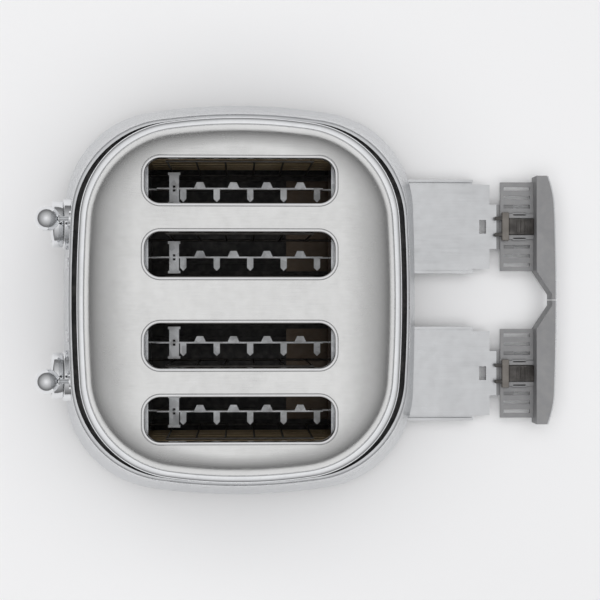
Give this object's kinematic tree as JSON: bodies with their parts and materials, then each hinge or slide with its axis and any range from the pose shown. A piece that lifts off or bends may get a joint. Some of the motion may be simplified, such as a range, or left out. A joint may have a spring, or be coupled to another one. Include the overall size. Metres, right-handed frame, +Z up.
{
  "type": "toaster",
  "caption": "Bread toaster with a tapered steel body, domed slotted lid, ball levers, dials and crumb trays drawn out behind.",
  "frame": {"origin": "on the counter, midway between the four feet", "axes": "+Z up, -Y towards the front with the levers and dials, +X to the right seen from the front"},
  "size_m": [0.33, 0.4292, 0.2008],
  "materials": {
    "satin_steel": "satin stainless steel",
    "polished_steel": "polished stainless steel",
    "chrome": "bright chrome plate",
    "brushed_steel": "brushed stainless steel",
    "zinc_steel": "galvanised sheet",
    "dark_wire": "heat-darkened steel wire",
    "dark_plastic": "dark moulded plastic",
    "grey_plastic": "grey moulded plastic",
    "black_plastic": "black moulded plastic",
    "rubber": "matt rubber",
    "mica": "mica board",
    "circuit_board": "glass-epoxy board"
  },
  "bodies": {
    "housing": {"feet": "rubber", "base_pan": "dark_plastic", "base_screws": "zinc_steel", "body_shell": "satin_steel", "lever_slot_frames": "chrome", "rim_carrier": "dark_plastic", "trim_ring": "chrome", "lid": "polished_steel", "guide_plate": "zinc_steel", "front_bulkhead": "zinc_steel", "rear_bulkhead": "zinc_steel", "reflectors": "zinc_steel", "guide_rods": "chrome", "latch_magnets": "dark_plastic", "control_boards": "circuit_board", "dial_pots": "grey_plastic", "dial_bezels": "chrome", "cord_gland": "black_plastic", "heater_left_inner": "mica", "heater_left_middle": "mica", "heater_left_outer": "mica", "return_spring_left": "zinc_steel", "heater_right_inner": "mica", "heater_right_middle": "mica", "heater_right_outer": "mica", "return_spring_right": "zinc_steel"},
    "lever_left": {"lever_knob_left": "chrome", "carriage_left": "zinc_steel", "bread_carrier_left_inner": "zinc_steel", "bread_carrier_left_outer": "zinc_steel"},
    "bread_guide_left_inner_in": {"bread_guide_left_inner_in": "dark_wire"},
    "bread_guide_left_inner_out": {"bread_guide_left_inner_out": "dark_wire"},
    "bread_guide_left_outer_in": {"bread_guide_left_outer_in": "dark_wire"},
    "bread_guide_left_outer_out": {"bread_guide_left_outer_out": "dark_wire"},
    "dial_left": {"dial_left": "chrome"},
    "button_left_lower": {"button_left_lower": "chrome"},
    "button_left_middle": {"button_left_middle": "chrome"},
    "button_left_upper": {"button_left_upper": "chrome"},
    "crumb_tray_left": {"crumb_tray_left": "brushed_steel", "tray_fascia_left": "grey_plastic", "tray_skin_left": "satin_steel", "tray_latch_left": "black_plastic"},
    "lever_right": {"lever_knob_right": "chrome", "carriage_right": "zinc_steel", "bread_carrier_right_inner": "zinc_steel", "bread_carrier_right_outer": "zinc_steel"},
    "bread_guide_right_inner_in": {"bread_guide_right_inner_in": "dark_wire"},
    "bread_guide_right_inner_out": {"bread_guide_right_inner_out": "dark_wire"},
    "bread_guide_right_outer_in": {"bread_guide_right_outer_in": "dark_wire"},
    "bread_guide_right_outer_out": {"bread_guide_right_outer_out": "dark_wire"},
    "dial_right": {"dial_right": "chrome"},
    "button_right_lower": {"button_right_lower": "chrome"},
    "button_right_middle": {"button_right_middle": "chrome"},
    "button_right_upper": {"button_right_upper": "chrome"},
    "crumb_tray_right": {"crumb_tray_right": "brushed_steel", "tray_fascia_right": "grey_plastic", "tray_skin_right": "satin_steel", "tray_latch_right": "black_plastic"}
  },
  "joints": [
    {"name": "lever_left_slide", "type": "slide", "parent": "housing", "child": "lever_left", "axis": [0, 0, -1], "range_m": [0, 0.045], "stiffness_N_per_m": 60, "springref_m": -0.05, "deforming": ["return_spring_left"]},
    {"name": "bread_guide_left_inner_in_hinge", "type": "hinge", "parent": "housing", "child": "bread_guide_left_inner_in", "pos_m": [-0.017, 0, 0.0672], "axis": [0, -1, 0], "range_deg": [0, 3.05]},
    {"name": "bread_guide_left_inner_out_hinge", "type": "hinge", "parent": "housing", "child": "bread_guide_left_inner_out", "pos_m": [-0.049, 0, 0.0672], "axis": [0, 1, 0], "range_deg": [0, 3.05]},
    {"name": "bread_guide_left_outer_in_hinge", "type": "hinge", "parent": "housing", "child": "bread_guide_left_outer_in", "pos_m": [-0.0702, 0, 0.0672], "axis": [0, -1, 0], "range_deg": [0, 3.05]},
    {"name": "bread_guide_left_outer_out_hinge", "type": "hinge", "parent": "housing", "child": "bread_guide_left_outer_out", "pos_m": [-0.1022, 0, 0.0672], "axis": [0, 1, 0], "range_deg": [0, 3.05]},
    {"name": "dial_left_turn", "type": "hinge", "parent": "housing", "child": "dial_left", "pos_m": [-0.0622, -0.14042, 0.062], "axis": [0, -0.9842, 0.1772], "range_deg": [-135, 135]},
    {"name": "button_left_lower_press", "type": "slide", "parent": "housing", "child": "button_left_lower", "axis": [0, 0.9842, -0.1772], "range_m": [0, 0.001], "stiffness_N_per_m": 800},
    {"name": "button_left_middle_press", "type": "slide", "parent": "housing", "child": "button_left_middle", "axis": [0, 0.9842, -0.1772], "range_m": [0, 0.001], "stiffness_N_per_m": 800},
    {"name": "button_left_upper_press", "type": "slide", "parent": "housing", "child": "button_left_upper", "axis": [0, 0.9842, -0.1772], "range_m": [0, 0.001], "stiffness_N_per_m": 800},
    {"name": "crumb_tray_left_slide", "type": "slide", "parent": "housing", "child": "crumb_tray_left", "axis": [0, 1, 0], "range_m": [-0.123, 0.055]},
    {"name": "lever_right_slide", "type": "slide", "parent": "housing", "child": "lever_right", "axis": [0, 0, -1], "range_m": [0, 0.045], "stiffness_N_per_m": 60, "springref_m": -0.05, "deforming": ["return_spring_right"]},
    {"name": "bread_guide_right_inner_in_hinge", "type": "hinge", "parent": "housing", "child": "bread_guide_right_inner_in", "pos_m": [0.017, 0, 0.0672], "axis": [0, 1, 0], "range_deg": [0, 3.05]},
    {"name": "bread_guide_right_inner_out_hinge", "type": "hinge", "parent": "housing", "child": "bread_guide_right_inner_out", "pos_m": [0.049, 0, 0.0672], "axis": [0, -1, 0], "range_deg": [0, 3.05]},
    {"name": "bread_guide_right_outer_in_hinge", "type": "hinge", "parent": "housing", "child": "bread_guide_right_outer_in", "pos_m": [0.0702, 0, 0.0672], "axis": [0, 1, 0], "range_deg": [0, 3.05]},
    {"name": "bread_guide_right_outer_out_hinge", "type": "hinge", "parent": "housing", "child": "bread_guide_right_outer_out", "pos_m": [0.1022, 0, 0.0672], "axis": [0, -1, 0], "range_deg": [0, 3.05]},
    {"name": "dial_right_turn", "type": "hinge", "parent": "housing", "child": "dial_right", "pos_m": [0.0622, -0.14042, 0.062], "axis": [0, -0.9842, 0.1772], "range_deg": [-135, 135]},
    {"name": "button_right_lower_press", "type": "slide", "parent": "housing", "child": "button_right_lower", "axis": [0, 0.9842, -0.1772], "range_m": [0, 0.001], "stiffness_N_per_m": 800},
    {"name": "button_right_middle_press", "type": "slide", "parent": "housing", "child": "button_right_middle", "axis": [0, 0.9842, -0.1772], "range_m": [0, 0.001], "stiffness_N_per_m": 800},
    {"name": "button_right_upper_press", "type": "slide", "parent": "housing", "child": "button_right_upper", "axis": [0, 0.9842, -0.1772], "range_m": [0, 0.001], "stiffness_N_per_m": 800},
    {"name": "crumb_tray_right_slide", "type": "slide", "parent": "housing", "child": "crumb_tray_right", "axis": [0, 1, 0], "range_m": [-0.123, 0.055]}
  ],
  "couplings": [
    {"joint": "bread_guide_left_inner_in_hinge", "follows": "lever_left_slide", "rad_per_m": 1.1636},
    {"joint": "bread_guide_left_inner_out_hinge", "follows": "lever_left_slide", "rad_per_m": 1.1636},
    {"joint": "bread_guide_left_outer_in_hinge", "follows": "lever_left_slide", "rad_per_m": 1.1636},
    {"joint": "bread_guide_left_outer_out_hinge", "follows": "lever_left_slide", "rad_per_m": 1.1636},
    {"joint": "bread_guide_right_inner_in_hinge", "follows": "lever_right_slide", "rad_per_m": 1.1636},
    {"joint": "bread_guide_right_inner_out_hinge", "follows": "lever_right_slide", "rad_per_m": 1.1636},
    {"joint": "bread_guide_right_outer_in_hinge", "follows": "lever_right_slide", "rad_per_m": 1.1636},
    {"joint": "bread_guide_right_outer_out_hinge", "follows": "lever_right_slide", "rad_per_m": 1.1636}
  ]
}
